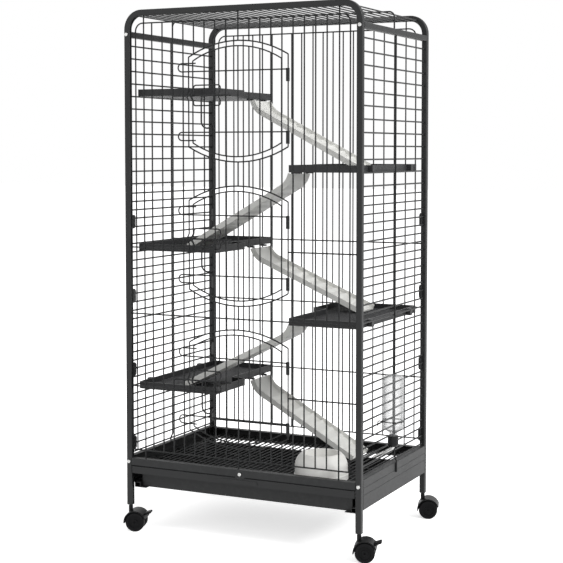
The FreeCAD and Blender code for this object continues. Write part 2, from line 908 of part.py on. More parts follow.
def bottle_body():
    r, w, s = bottle_radius, bottle_wall, bottle_shoulder
    low, neck = bottle_low, bottle_neck
    slope_top = low + neck + bottle_slope
    inside = [(0, bottle_high - w), (r - w - s, bottle_high - w), (r - w, bottle_high - w - s),
              (r - w, slope_top), (cap_neck_radius - w, low + neck), (cap_neck_radius - w, low)]
    outside = [(cap_neck_radius, low), (cap_neck_radius, low + neck), (r, slope_top),
               (r, bottle_high - s), (r - s, bottle_high), (0, bottle_high)]
    profile = [vec(out, 0, z) for out, z in inside + outside]
    shape = polygon(profile).revolve(zero_point, along_z, full_turn)
    shape.translate(vec(bottle_x, bottle_y, 0))
    return shape


def bottle_cap():
    r = cap_radius
    profile = [vec(0, 0, cap_low + cap_foot), vec(cap_foot_radius, 0, cap_low + cap_foot),
               vec(cap_foot_radius, 0, cap_low), vec(cap_neck_radius, 0, cap_low),
               vec(r, 0, cap_low + cap_foot), vec(r, 0, bottle_low), vec(0, 0, bottle_low)]
    shape = polygon(profile).revolve(zero_point, along_z, full_turn)
    grooves = []
    for index in range(cap_rib_count):
        angle = math.radians(full_turn * index / cap_rib_count)
        spot = vec(r * math.cos(angle), r * math.sin(angle), cap_low + cap_foot + cap_rib_radius)
        grooves.append(Part.makeCylinder(cap_rib_radius, bottle_low, spot, along_z))
    shape = shape.cut(Part.Compound(grooves))
    shape.translate(vec(bottle_x, bottle_y, 0))
    return shape


def spout_parts():
    points = [vec(bottle_x, bottle_y, cap_low + cap_foot), vec(bottle_x, bottle_y, spout_turn_level),
              vec(bottle_x - spout_reach, bottle_y, spout_tip_level)]
    pipe = bent_rod(points, spout_bend, spout_radius)
    tip, turn = points[-one], points[one]
    back = turn.sub(tip).normalize()
    bore = rod(spout_ball_radius + thin, tip, tip.add(back.multiply(spout_radius + spout_radius)))
    return [pipe.cut(bore), Part.makeSphere(spout_ball_radius, tip)]


def bottle_holder():
    x, y = bottle_x, bottle_y
    r = bottle_radius + holder_wire + thin
    ring = Part.makeTorus(r, holder_wire, vec(x, y, holder_level), along_z)
    arms = []
    for way in (-one, one):
        side = y + way * holder_arm_offset
        start = x - math.sqrt(r * r - holder_arm_offset * holder_arm_offset)
        hook = outer_x - holder_hook_inset
        points = [vec(start, side, holder_level), vec(hook, side, holder_level),
                  vec(hook, side, holder_level - holder_hook_drop)]
        arms.append(bent_rod(points, holder_bend, holder_wire))
    return join([ring] + arms)


def kinked_side(x, y, z0, z1, bolt):
    path = [(0, z0), (0, bolt - kink_half - kink_run), (-kink_out, bolt - kink_half),
            (-kink_out, bolt + kink_half), (0, bolt + kink_half + kink_run), (0, z1)]
    near = [vec(x - half(wire), y + out - half(wire), z) for out, z in path]
    far = [vec(x - half(wire), y + out + half(wire), z) for out, z in path]
    return prism(near + far[::-one], vec(wire, 0, 0))


def door_frame(level):
    bolt = level + bolt_rise
    left, right = door_left, door_right
    reach = half(wire)
    bars = [kinked_side(left, front_plane, level - door_corner, level + door_corner, bolt),
            upright(right, front_plane, level - door_corner, level + door_corner)]
    for way in (-one, one):
        bars.append(arch_strip(level, door_arch, way, left - reach, right + reach))
    for x in column_places() + [long_middle]:
        if left + left_pitch * half_share < x < right - reach - wire:
            rise = arch_rise(x, door_arch)
            bars.append(upright(x, front_plane, level - rise, level + rise))
    return join(bars)


def cross_wire(level, way):
    z = level + way * cross_offset
    tail = z + way * cross_hook_rise
    points = [vec(cross_hinge_end, cross_plane, z), vec(cross_hook_x, cross_plane, z),
              vec(cross_hook_x, cross_plane, tail), vec(cross_hook_end, cross_plane, tail)]
    return bent_rod(points, hook_bend, half(wire))


def cross_wires(level):
    return [cross_wire(level, way) for way in (-one, one)]


def latch_guide(level):
    y = guide_plane
    low, high = level + guide_low, level + guide_high
    c = guide_corner
    bars = [level_bar(guide_left + c, guide_right - c, y, low),
            level_bar(guide_left + c, guide_right - c, y, high)]
    bolt = level + bolt_rise
    for x, way in ((guide_left, one), (guide_right, -one)):
        bars.append(kinked_side(x, y, low + c, high - c, bolt))
        for z, up in ((low, one), (high, -one)):
            ring = flat_ring(x + way * c, y, z + up * c, c, wire, wire)
            x0, x1 = sorted((x - way * wire, x + way * c))
            z0, z1 = sorted((z - up * wire, z + up * c))
            bars.append(ring.common(box(x0, x1, y - wire, y + wire, z0, z1)))
    return join(bars)


def hinge_clip(level, way):
    x, y = hinge_point
    top = level + way * cross_offset + clip_above
    low = top - clip_height
    roll = rod(clip_outer, vec(x, y, low), vec(x, y, top))
    bore = rod(half(wire) + running_gap, vec(x, y, low), vec(x, y, top))
    back = y - half(wire)
    tongue = box(clip_left, clip_left + clip_tongue, back, back + clip_tongue_thickness, low, top)
    return join([roll, tongue]).cut(bore)


def hinge_clips(level):
    return [hinge_clip(level, way) for way in (-one, one)]


def bolt(level):
    z = level + bolt_rise
    bar = rod(bolt_radius, vec(bolt_left, bolt_plane, z), vec(bolt_right, bolt_plane, z))
    low = level - handle_drop
    step = z - handle_step
    left, right = handle_left, handle_right
    sides = []
    for x in (left, right):
        points = [vec(x, bolt_plane, z), vec(x, handle_plane, step),
                  vec(x, handle_plane, low + handle_bend + small_bend)]
        sides.append(bent_rod(points, small_bend, bolt_radius))
    bottom = [vec(left, handle_plane, low + handle_bend + small_bend), vec(left, handle_plane, low),
              vec(right, handle_plane, low), vec(right, handle_plane, low + handle_bend + small_bend)]
    sides.append(bent_rod(bottom, handle_bend, bolt_radius))
    return join([bar] + sides)


def wheel(way):
    y0 = way * (half(web_width) + wheel_gap)
    axis = vec(0, way, 0)
    start = vec(0, y0, 0)
    disc = Part.makeCylinder(wheel_radius, wheel_width, start, axis)
    disc = disc.makeFillet(wheel_edge, [edge for edge in disc.Edges if edge.Closed])
    outer = vec(0, y0 + way * (wheel_width - wheel_dish), 0)
    dish = Part.makeCylinder(wheel_dish_radius, wheel_dish + wheel_dish, outer, axis)
    hub = Part.makeCylinder(hub_radius, wheel_dish + wheel_dish, outer, axis)
    bore = Part.makeCylinder(axle_radius, wheel_width + wheel_width, start, axis)
    return disc.cut(dish.cut(hub)).cut(bore)


def place_caster(shape, x, y):
    shape = shape.copy()
    shape.rotate(zero_point, along_z, caster_turn)
    shape.translate(vec(x, y, 0))
    return shape


def caster_hood(lever):
    r = wheel_radius + cover_gap
    width = web_width + wheel_gap + wheel_gap + wheel_width + wheel_width
    y0 = -half(width)
    ring = arc_band(trail, y0, wheel_radius, r, r + cover_wall, width, cover_start, cover_sweep)
    web = arc_band(trail, -half(web_width), wheel_radius, axle_radius + running_gap, r + half(cover_wall),
                   web_width, cover_start, cover_sweep)
    web_centre = vec(trail, -half(web_width), wheel_radius)
    hub = Part.makeCylinder(hub_radius, web_width, web_centre, along_y)
    boss = Part.makeCylinder(boss_radius, boss_top - boss_low, vec(0, 0, boss_low), along_z)
    wheels_space = [Part.makeCylinder(r, wheel_width + wheel_gap,
                                      vec(trail, way * half(web_width), wheel_radius), vec(0, way, 0))
                    for way in (-one, one)]
    boss = boss.cut(Part.Compound(wheels_space))
    stem = Part.makeCylinder(stem_radius, stem_top - boss_low, vec(0, 0, boss_low), along_z)
    stem = stem.cut(Part.Compound(wheels_space))
    parts = [ring, web, hub, boss, stem]
    if lever:
        parts += lever_ears()
    shape = join(parts)
    bore_start = vec(trail, -half(width), wheel_radius)
    bore = Part.makeCylinder(axle_radius + running_gap, width, bore_start, along_y)
    return shape.cut(bore)


def lever_spot():
    angle = math.radians(lever_angle)
    return vec(trail + lever_reach * math.cos(angle), 0, wheel_radius + lever_reach * math.sin(angle))


def lever_ears():
    spot = lever_spot()
    inner_r = wheel_radius + cover_gap + half(cover_wall)
    parts = []
    for way in (-one, one):
        y0 = way * (half(lever_width) + lever_side_gap)
        start = vec(spot.x, y0, spot.z)
        ear = Part.makeCylinder(lever_knuckle, ear_width, start, vec(0, way, 0))
        angle = math.radians(lever_angle)
        foot = vec(trail + inner_r * math.cos(angle), y0, wheel_radius + inner_r * math.sin(angle))
        side = vec(-lever_knuckle * math.sin(angle), 0, lever_knuckle * math.cos(angle))
        neck = prism([start.sub(side), start.add(side), foot.add(side), foot.sub(side)],
                     vec(0, way * ear_width, 0))
        parts += [ear, neck]
    pin_half = half(lever_width) + lever_side_gap
    parts.append(rod(lever_pin, vec(spot.x, -pin_half, spot.z), vec(spot.x, pin_half, spot.z)))
    return parts


def brake_lever():
    spot = lever_spot()
    y0 = -half(lever_width)
    knuckle = Part.makeCylinder(lever_knuckle, lever_width, vec(spot.x, y0, spot.z), along_y)
    blade = box(0, lever_length, y0, -y0, -half(lever_thickness), half(lever_thickness))
    tip = Part.makeCylinder(half(lever_thickness), lever_width, vec(lever_length, y0, 0), along_y)
    blade = join([blade, tip])
    blade.rotate(zero_point, along_y, -half(lever_angle))
    blade.translate(vec(spot.x, 0, spot.z))
    bore = Part.makeCylinder(lever_pin + running_gap, lever_width, vec(spot.x, y0, spot.z), along_y)
    return join([knuckle, blade]).cut(bore)


def caster_wheels():
    pair = []
    for way in (-one, one):
        disc = wheel(way)
        disc.translate(vec(trail, 0, wheel_radius))
        pair.append(disc)
    return pair


def caster_axle():
    reach = half(web_width) + wheel_gap + wheel_width - wheel_dish
    return rod(axle_radius, vec(trail, -reach, wheel_radius), vec(trail, reach, wheel_radius))


def caster_sockets():
    sockets = []
    inner = half(tube) - tube_wall - socket_fit
    for x in (-post_x, post_x):
        for y in (-post_y, post_y):
            plug = box(x - inner, x + inner, y - inner, y + inner, leg_bottom, leg_bottom + socket_reach)
            bore = rod(stem_radius + running_gap, vec(x, y, leg_bottom), vec(x, y, leg_bottom + socket_reach))
            sockets.append(plug.cut(bore))
    return sockets


def build():
    nodes = {}
    nodes["front_tube_frame"] = tube_frame(-post_y)
    nodes["back_tube_frame"] = tube_frame(post_y)
    for name, side in (("left", -one), ("right", one)):
        nodes["top_rail_" + name] = top_rail(side)
        nodes["side_rail_" + name] = side_rail(side)
        nodes["side_panel_" + name] = side_panel(side)
    nodes["front_bottom_rail"] = front_bottom_rail()
    nodes["back_bottom_rail"] = back_bottom_rail()
    nodes["front_panel"] = front_panel()
    nodes["opening_wires"] = opening_wires()
    nodes["back_panel"] = back_panel()
    nodes["top_panel"] = top_panel()
    nodes["middle_hoop"] = [top_hoop(), side_stay(-one), side_stay(one)]
    nodes["floor_grid"] = floor_grid()
    nodes["post_tabs"] = post_tabs()
    nodes["frame_screws"] = frame_screws()
    nodes["caster_sockets"] = caster_sockets()
    nodes["tray"] = tray()
    foot_level = grid_high + ramp_rest_gap
    turned = False
    for name, level in zip(("one", "two", "three", "four", "five"), shelf_levels):
        board = shelf(level)
        slope = ramp(foot_level, level)
        nodes["shelf_" + name] = half_turned(board) if turned else board
        nodes["ramp_" + name] = half_turned(slope) if turned else slope
        foot_level = level + shelf_floor + shelf_rib_height + ramp_rest_gap
        turned = not turned
    nodes["food_bowl"] = bowl()
    nodes["bottle_body"] = bottle_body()
    nodes["bottle_cap"] = bottle_cap()
    nodes["bottle_spout"] = spout_parts()
    nodes["bottle_holder"] = bottle_holder()
    for name, level in zip(("upper", "middle", "lower"), door_levels):
        nodes["door_" + name + "_frame"] = door_frame(level)
        nodes["door_" + name + "_cross_wires"] = cross_wires(level)
        nodes["door_" + name + "_guide"] = latch_guide(level)
        nodes["door_" + name + "_clips"] = hinge_clips(level)
        nodes["door_" + name + "_bolt"] = bolt(level)
    spots = (("front_left", -post_x, -post_y, True), ("front_right", post_x, -post_y, True),
             ("back_left", -post_x, post_y, False), ("back_right", post_x, post_y, False))
    for name, x, y, lever in spots:
        label = "caster_" + name
        nodes[label + "_hood"] = place_caster(caster_hood(lever), x, y)
        pair = caster_wheels() + [caster_axle()]
        nodes[label + "_wheels"] = [place_caster(item, x, y) for item in pair]
        if lever:
            nodes[label + "_lever"] = place_caster(brake_lever(), x, y)
    return nodes


def as_shape(item):
    return Part.Compound(item) if isinstance(item, list) else item


def centred(shapes):
    boxes = [shape.optimalBoundingBox(False, False) for shape in shapes.values()]
    shift_x = -half(min(b.XMin for b in boxes) + max(b.XMax for b in boxes))
    shift_y = -half(min(b.YMin for b in boxes) + max(b.YMax for b in boxes))
    print("origin shift", shift_x, shift_y)
    for shape in shapes.values():
        shape.translate(vec(shift_x, shift_y, 0))


def write(shapes):
    os.makedirs("parts", exist_ok=True)
    for name, shape in shapes.items():
        shape.exportStep("parts/" + name + ".step")


model = {name: as_shape(item) for name, item in build().items()}
centred(model)
write(model)
print(len(model), "pieces written")
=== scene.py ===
import bpy
import json
import math
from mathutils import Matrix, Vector


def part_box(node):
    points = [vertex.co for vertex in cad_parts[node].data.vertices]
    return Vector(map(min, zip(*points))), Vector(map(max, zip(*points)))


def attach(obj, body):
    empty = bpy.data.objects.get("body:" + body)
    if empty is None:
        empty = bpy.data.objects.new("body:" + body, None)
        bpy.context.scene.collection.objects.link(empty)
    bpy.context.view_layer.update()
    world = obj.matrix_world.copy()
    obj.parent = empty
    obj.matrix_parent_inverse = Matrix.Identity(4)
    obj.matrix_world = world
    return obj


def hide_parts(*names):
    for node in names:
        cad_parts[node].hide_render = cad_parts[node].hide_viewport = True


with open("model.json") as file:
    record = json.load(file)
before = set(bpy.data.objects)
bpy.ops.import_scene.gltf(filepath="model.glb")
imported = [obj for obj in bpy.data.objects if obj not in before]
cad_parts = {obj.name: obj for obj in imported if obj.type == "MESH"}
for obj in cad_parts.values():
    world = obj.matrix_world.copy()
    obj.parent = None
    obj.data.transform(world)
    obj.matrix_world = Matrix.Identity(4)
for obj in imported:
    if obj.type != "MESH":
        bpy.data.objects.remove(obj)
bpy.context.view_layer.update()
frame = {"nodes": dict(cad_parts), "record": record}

# Values a user may change, one dictionary per piece. Lengths are in millimetres, colours are linear.
wireLook = {"panel": 1.8, "side": 2.0, "door": 1.7, "fine": 1.65, "colour": (0.0075, 0.008, 0.0085),
            "roughness": 0.45, "grain": 0.25, "grainScale": 1800.0, "shine": 0.22}
paintLook = {"colour": (0.0125, 0.013, 0.0135), "roughness": 0.48, "grain": 0.3, "grainScale": 1400.0,
             "shine": 0.25}
sheetLook = {"colour": (0.0135, 0.014, 0.0145), "roughness": 0.5, "grain": 0.25, "grainScale": 1400.0,
             "shine": 0.25}
# The shelves' second colour is a painted highlight on their upward faces, as if they were lit from above; on
# the ramps and bowl the second colour is darker soil.
shelfLook = {"colour": (0.017, 0.0175, 0.0185), "roughness": 0.55, "shine": 0.35,
             "soilAndLitTop": (0.15, 0.15, 0.155), "soilAndLitTopShare": 0.9}
rampLook = {"colour": (0.68, 0.68, 0.655), "roughness": 0.45, "shine": 0.35,
            "soilAndLitTop": (0.52, 0.515, 0.49), "soilAndLitTopShare": 0.35, "fold": 0.0271}
bowlLook = {"colour": (0.76, 0.755, 0.73), "roughness": 0.35, "shine": 0.35,
            "soilAndLitTop": (0.6, 0.585, 0.55), "soilAndLitTopShare": 0.3}
casterLook = {"colour": (0.005, 0.005, 0.0055), "roughness": 0.42, "shine": 0.15}
wheelLook = {"colour": (0.0045, 0.0045, 0.005), "roughness": 0.55, "shine": 0.1}
capLook = {"colour": (0.005, 0.005, 0.0055), "roughness": 0.35, "shine": 0.2}
screwLook = {"colour": (0.55, 0.55, 0.54), "roughness": 0.34}
bottleLook = {"colour": (0.3, 0.305, 0.31), "clear": 0.17, "rim": 0.8, "rimBlend": 0.35, "rimPower": 1.6,
              "roughness": 0.06, "index": 1.45}
floorLook = {"colour": (1.0, 1.0, 1.0), "cloth": (0.97, 0.97, 0.97), "clothShare": 0.02,
             "bounce": (0.4, 0.4, 0.4), "glow": 0.6, "roughness": 0.9, "reach": 30000.0}
skyLook = {"seen": 1.0, "light": 0.72}
keyLight = {"place": (7200.0, -1700.0, 5400.0), "size": 3000.0, "power": 700.0, "target": (0.0, 0.0, 700.0)}
fillLight = {"place": (-4600.0, -6400.0, 3400.0), "size": 4200.0, "power": 90.0,
             "target": (0.0, 0.0, 600.0)}
cameraLook = {"place": (1540.28, -3178.25, 958.84), "yaw": -0.44845304, "pitch": 0.05714795,
              "focus": 1383.892, "picture": 563.0, "sideShift": -0.002854, "upShift": -0.09,
              "sensor": 36.0, "near": 0.05, "far": 100.0}

# How the surfaces vary. A noise is its scale, detail and roughness. A range is where a mask starts and ends.
noises = {"paintBroad": (7.0, 4.0, 0.6), "paintFine": (90.0, 4.0, 0.6), "plasticGrain": (900.0, 2.0, 0.55),
          "plasticBroad": (9.0, 4.0, 0.6), "plasticStreak": (60.0, 5.0, 0.65, (1.0, 0.18, 1.0)),
          "brushed": (700.0, 3.0, 0.6, (1.0, 1.0, 0.1)), "spots": (160.0, 4.0, 0.55),
          "haze": (120.0, 4.0, 0.55), "ripple": (220.0, 2.0, 0.55), "cloth": (30.0, 3.0, 0.55)}
grainNoise = {"detail": 2.0, "roughness": 0.55}
paintWear = {"tones": (0.82, 1.22), "toneRange": (0.35, 0.7), "dustColour": (0.2, 0.2, 0.2),
             "dustFacing": (0.5, 1.0), "dustRange": (0.4, 0.75), "dustShare": 0.35,
             "edgeRange": (0.53, 0.6), "edgeFine": (0.45, 0.7), "edgeShare": 0.35, "edgeTone": 2.4,
             "roughBroad": 0.16, "roughDust": 0.3, "roughGrain": 0.1, "bumpGrain": 0.6, "bumpFine": 0.4,
             "bumpDepth": 0.0004, "coat": 0.03}
plasticWear = {"tones": (0.9, 1.08), "toneRange": (0.3, 0.7), "soilAndLitTopFacing": (0.35, 0.95),
               "soilAndLitTopRange": (0.38, 0.7), "soilAndLitTopStreak": 0.6, "soilAndLitTopBase": 0.4, "roughBroad": 0.18,
               "roughStreak": 0.14, "bumpStrength": 0.18, "bumpDepth": 0.0005}
# The folds' shade and tone are painted shade in the troughs of the underside folds.
foldShadeAndBump = {"shade": 0.45, "tone": 0.45, "grain": 0.1, "under": 1.4, "bumpStrength": 0.6, "bumpDepth": 0.003}
metalWear = {"spotRange": (0.35, 0.75), "spotTone": 0.72, "rough": 0.25, "bumpStrength": 0.12,
             "bumpDepth": 0.0002}
clearWear = {"haze": 0.03, "rough": 0.1, "bumpStrength": 0.08, "bumpDepth": 0.0004}
softEdge = {"width": 0.6, "segments": 2, "limit": 40.0, "split": 35.0}

# The wires' places, taken from the solid model.
mesh = {"left": -291.4, "right": 288.1, "top": 1276.7, "bottom": 207.0, "corner": 20.0, "cornerSteps": 8,
        "long": (-268.0, -4.6, 260.8), "levels": (369.5, 553.0, 720.0),
        "leftStart": -38.1, "leftPitch": 29.5, "rightStart": 25.0, "rightPitch": 29.2, "count": 8,
        "plane": 217.5, "reach": 308.5, "railTop": 185.0, "tubeLow": 1298.0}
side = {"upperStart": 878.0, "upperPitch": 31.3, "upperCount": 12,
        "lowerStart": 854.4, "lowerPitch": 21.2, "lowerCount": 32, "x": 313.5, "depth": 211.0}
roof = {"pitch": 21.0, "half": 14, "level": 1296.5, "depth": 211.0}
hoop = {"radius": 2.0, "top": 1300.0, "x": 312.0, "corner": 14.0, "stay": 317.0, "outside": 323.0,
        "railTop": 1257.5, "railLow": 1242.5, "end": 166.0, "joggle": (194.0, 206.0), "joggleBend": 4.0}
grid = {"pitch": 15.0, "half": 19, "edge": 302.5, "front": 220.0, "rows": 5, "level": 166.2}
opening = {"left": -140.5, "right": 129.0, "corner": 109.3, "peak": 145.6}
door = {"left": -128.8, "right": 111.6, "corner": 99.7, "peak": 133.0,
        "levels": {"upper": 1079.7, "middle": 730.3, "lower": 380.9},
        "leftRoom": 10.0, "rightRoom": 5.0,
        "cross": 73.8, "hookX": -168.0, "hookEnd": -119.5, "hookRise": 20.0, "hookBend": 9.9,
        "hookSteps": 8, "crossEnd": 125.4, "crossPlane": -220.5}
guide = {"left": -125.3, "right": -51.3, "low": -9.0, "high": 40.5, "corner": 9.0}
bolt = {"rise": 15.0, "left": -185.3, "right": -22.6, "radius": 2.0, "plane": -221.2,
        "handle": (-101.3, -67.6), "drop": 64.0, "bend": 16.6, "bendSteps": 10, "front": -225.0,
        "step": 12.0, "kinkHalf": 4.0, "kinkRun": 8.0, "kinkOut": 9.2, "kinkBend": 4.0, "kinkSteps": 3,
        "keeperOut": 4.5}
holder = {"radius": 1.25, "x": 343.0, "y": -76.0, "ring": 26.3, "ringSteps": 32, "level": 309.0,
          "arm": 16.0, "hookX": 309.5, "drop": 12.0, "bend": 3.0}
archSteps = 16
bendSteps = 6
bevelSteps = 3
straightHalf = 1.55
bendShare = 0.499
perMetre = 1000.0

# The frame's middle, from the two top rails.
railCorners = [*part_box("top_rail_left"), *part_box("top_rail_right")]
shift = sum(railCorners, Vector()) / len(railCorners)
shift.z = 0.0


def place(x, y, z):
    return Vector((x, y, z)) / perMetre + shift


def tinted(colour, tone):
    return tuple(min(c * tone, 1.0) for c in colour)


def grey(level):
    return (level, level, level)


class Socket:
    def __init__(self, graph, end):
        self.graph = graph
        self.end = end

    def calc(self, kind, *others):
        return self.graph.put("ShaderNodeMath", {"operation": kind}, [self, *others])

    def __add__(self, other):
        return self.calc("ADD", other)

    def __radd__(self, other):
        return self.calc("ADD", other)

    def __sub__(self, other):
        return self.calc("SUBTRACT", other)

    def __rsub__(self, other):
        return self.graph.put("ShaderNodeMath", {"operation": "SUBTRACT"}, [other, self])

    def __mul__(self, other):
        return self.calc("MULTIPLY", other)

    def __truediv__(self, other):
        return self.calc("DIVIDE", other)

    def __pow__(self, other):
        return self.calc("POWER", other)

    def clamp(self):
        return self.graph.put("ShaderNodeClamp", {}, [self, 0.0, 1.0])

    # How far a noise lies above or below its middle, times an amount.
    def sway(self, amount):
        return (self - 0.5) * amount


# Numbers of the sockets that share a name on a colour mix.
mixInput = {"share": 0, "first": 6, "second": 7}
mixOutput = 2


class Graph:
    def __init__(self, owner):
        self.owner = owner
        owner.use_nodes = True
        self.tree = owner.node_tree
        self.tree.nodes.clear()

    def put(self, kind, settings, inputs, output=0):
        node = self.tree.nodes.new(kind)
        for key, value in settings.items():
            setattr(node, key, value)
        pairs = inputs.items() if isinstance(inputs, dict) else enumerate(inputs)
        for key, value in pairs:
            if isinstance(value, Socket):
                self.tree.links.new(value.end, node.inputs[key])
            else:
                node.inputs[key].default_value = value
        return None if output is None else Socket(self, node.outputs[output])

    def blend(self, share, first, second):
        full = [c if isinstance(c, Socket) else (*c, 1.0) for c in (first, second)]
        inputs = dict(zip(mixInput.values(), (share, *full)))
        return self.put("ShaderNodeMix", {"data_type": "RGBA"}, inputs, mixOutput)

    def noise(self, scale, detail, rough, stretch=None):
        spot = self.put("ShaderNodeTexCoord", {}, [], "Object")
        if stretch:
            spot = self.put("ShaderNodeVectorMath", {"operation": "MULTIPLY"}, [spot, stretch])
        return self.put("ShaderNodeTexNoise", {}, {"Vector": spot, "Scale": scale, "Detail": detail,
                                                   "Roughness": rough})

    def ramp(self, value, span):
        low, high = span
        return ((value - low) / (high - low)).clamp()

    # 1 where a surface looks straight up, -1 where it looks down.
    def facing(self):
        normal = self.put("ShaderNodeNewGeometry", {}, [], "Normal")
        return self.put("ShaderNodeSeparateXYZ", {}, [normal], "Z")

    def edges(self, span):
        return self.ramp(self.put("ShaderNodeNewGeometry", {}, [], "Pointiness"), span)

    def bump(self, height, strength, depth):
        return self.put("ShaderNodeBump", {}, {"Strength": strength, "Distance": depth, "Height": height})

    def surface(self, sockets):
        shader = self.put("ShaderNodeBsdfPrincipled", {}, sockets)
        self.put("ShaderNodeOutputMaterial", {}, [shader], None)
        return self.owner

    # 1 for rays that draw the picture, straight or by a reflection, and 0 for rays that light the object.
    def shown(self):
        kinds = ("Is Camera Ray", "Is Glossy Ray", "Is Transmission Ray")
        return sum((self.put("ShaderNodeLightPath", {}, [], kind) for kind in kinds), 0.0).clamp()


def paintMaterial(name, look):
    g = Graph(bpy.data.materials.new(name))
    wear = paintWear
    grain = g.noise(look["grainScale"], grainNoise["detail"], grainNoise["roughness"])
    broad = g.noise(*noises["paintBroad"])
    fine = g.noise(*noises["paintFine"])
    dark, light = (tinted(look["colour"], tone) for tone in wear["tones"])
    colour = g.blend(g.ramp(broad, wear["toneRange"]), dark, light)
    dust = g.ramp(g.facing(), wear["dustFacing"]) * g.ramp(fine, wear["dustRange"]) * wear["dustShare"]
    colour = g.blend(dust, colour, wear["dustColour"])
    rubbed = g.edges(wear["edgeRange"]) * g.ramp(fine, wear["edgeFine"]) * wear["edgeShare"]
    colour = g.blend(rubbed, colour, tinted(look["colour"], wear["edgeTone"]))
    rough = look["roughness"] + broad.sway(wear["roughBroad"]) + dust * wear["roughDust"]
    rough = rough + grain.sway(wear["roughGrain"])
    bump = g.bump(grain * wear["bumpGrain"] + fine * wear["bumpFine"], look["grain"], wear["bumpDepth"])
    return g.surface({"Base Color": colour, "Roughness": rough, "Normal": bump,
                      "Specular IOR Level": look["shine"], "Coat Weight": wear["coat"]})


def plasticMaterial(name, look):
    g = Graph(bpy.data.materials.new(name))
    wear = plasticWear
    grain = g.noise(*noises["plasticGrain"])
    broad = g.noise(*noises["plasticBroad"])
    streak = g.noise(*noises["plasticStreak"])
    dark, light = (tinted(look["colour"], tone) for tone in wear["tones"])
    colour = g.blend(g.ramp(broad, wear["toneRange"]), dark, light)
    # Upward faces blend toward the look's second colour: on the shelves this is a painted highlight, as if
    # the tops were lit from above; on the ramps and bowl it is darker soil.
    if "soilAndLitTop" in look:
        streaks = g.ramp(streak, wear["soilAndLitTopRange"]) * wear["soilAndLitTopStreak"] + wear["soilAndLitTopBase"]
        mask = g.ramp(g.facing(), wear["soilAndLitTopFacing"]) * streaks * look["soilAndLitTopShare"]
        colour = g.blend(mask, colour, look["soilAndLitTop"])
    rough = look["roughness"] + broad.sway(wear["roughBroad"]) + streak.sway(wear["roughStreak"])
    height = (grain + streak) * 0.5
    strength, depth = wear["bumpStrength"], wear["bumpDepth"]
    if "fold" in look:
        # The treads show as folds on the underside, with painted shade darkening each fold's trough.
        along = g.put("ShaderNodeSeparateXYZ", {}, [g.put("ShaderNodeTexCoord", {}, [], "Object")])
        wave = (along * (2 * math.pi / look["fold"])).calc("SINE") * 0.5 + 0.5
        under = (g.facing() * -foldShadeAndBump["under"]).clamp()
        shaded = tinted(look["colour"], foldShadeAndBump["tone"])
        colour = g.blend((1.0 - wave) * under * foldShadeAndBump["shade"], colour, shaded)
        height = height * foldShadeAndBump["grain"] + wave * under
        strength, depth = foldShadeAndBump["bumpStrength"], foldShadeAndBump["bumpDepth"]
    return g.surface({"Base Color": colour, "Roughness": rough, "Normal": g.bump(height, strength, depth),
                      "Specular IOR Level": look["shine"]})


def metalMaterial(name, look):
    g = Graph(bpy.data.materials.new(name))
    wear = metalWear
    brushed = g.noise(*noises["brushed"])
    spots = g.ramp(g.noise(*noises["spots"]), wear["spotRange"])
    colour = g.blend(spots, look["colour"], tinted(look["colour"], wear["spotTone"]))
    rough = look["roughness"] + brushed.sway(wear["rough"])
    bump = g.bump(brushed, wear["bumpStrength"], wear["bumpDepth"])
    return g.surface({"Base Color": colour, "Roughness": rough, "Metallic": 1.0, "Normal": bump})


def clearMaterial(name, look):
    g = Graph(bpy.data.materials.new(name))
    wear = clearWear
    rim = g.put("ShaderNodeLayerWeight", {}, [look["rimBlend"]], "Facing")
    haze = g.noise(*noises["haze"])
    # The grey grows more opaque towards the glancing rim: painted shade standing in for the light bent at
    # the bottle's edges.
    alpha = (look["clear"] + rim ** look["rimPower"] * look["rim"] + haze.sway(wear["haze"])).clamp()
    ripple = g.bump(g.noise(*noises["ripple"]), wear["bumpStrength"], wear["bumpDepth"])
    return g.surface({"Base Color": (*look["colour"], 1.0), "Alpha": alpha, "Normal": ripple,
                      "Roughness": look["roughness"] + haze * wear["rough"], "IOR": look["index"]})


def floorMaterial(name, look):
    g = Graph(bpy.data.materials.new(name))
    shown = g.shown()
    colour = g.blend(g.noise(*noises["cloth"]) * look["clothShare"], look["colour"], look["cloth"])
    colour = g.blend(shown, look["bounce"], colour)
    glow = g.blend(shown, grey(0.0), grey(look["glow"]))
    return g.surface({"Base Color": colour, "Roughness": look["roughness"], "Specular IOR Level": 0.0,
                      "Emission Color": glow, "Emission Strength": 1.0})


def skyWorld(look):
    g = Graph(bpy.data.worlds.new("sky"))
    colour = g.blend(g.shown(), grey(look["light"]), grey(look["seen"]))
    g.put("ShaderNodeOutputWorld", {}, [g.put("ShaderNodeBackground", {}, [colour, 1.0])], None)
    return g.owner


slots = {
    "frame_paint": paintMaterial("framePaint", paintLook),
    "sheet_paint": paintMaterial("sheetPaint", sheetLook),
    "wire_paint": paintMaterial("wirePaint", wireLook),
    "bright_screw": metalMaterial("screwSteel", screwLook),
    "shelf_plastic": plasticMaterial("shelfPlastic", shelfLook),
    "ramp_plastic": plasticMaterial("rampPlastic", rampLook),
    "bowl_plastic": plasticMaterial("bowlPlastic", bowlLook),
    "bottle_clear": clearMaterial("bottleWall", bottleLook),
    "cap_plastic": plasticMaterial("capPlastic", capLook),
    "steel_spout": metalMaterial("spoutSteel", screwLook),
    "caster_plastic": plasticMaterial("casterPlastic", casterLook),
    "wheel_plastic": plasticMaterial("wheelPlastic", wheelLook),
}
print("materials made")


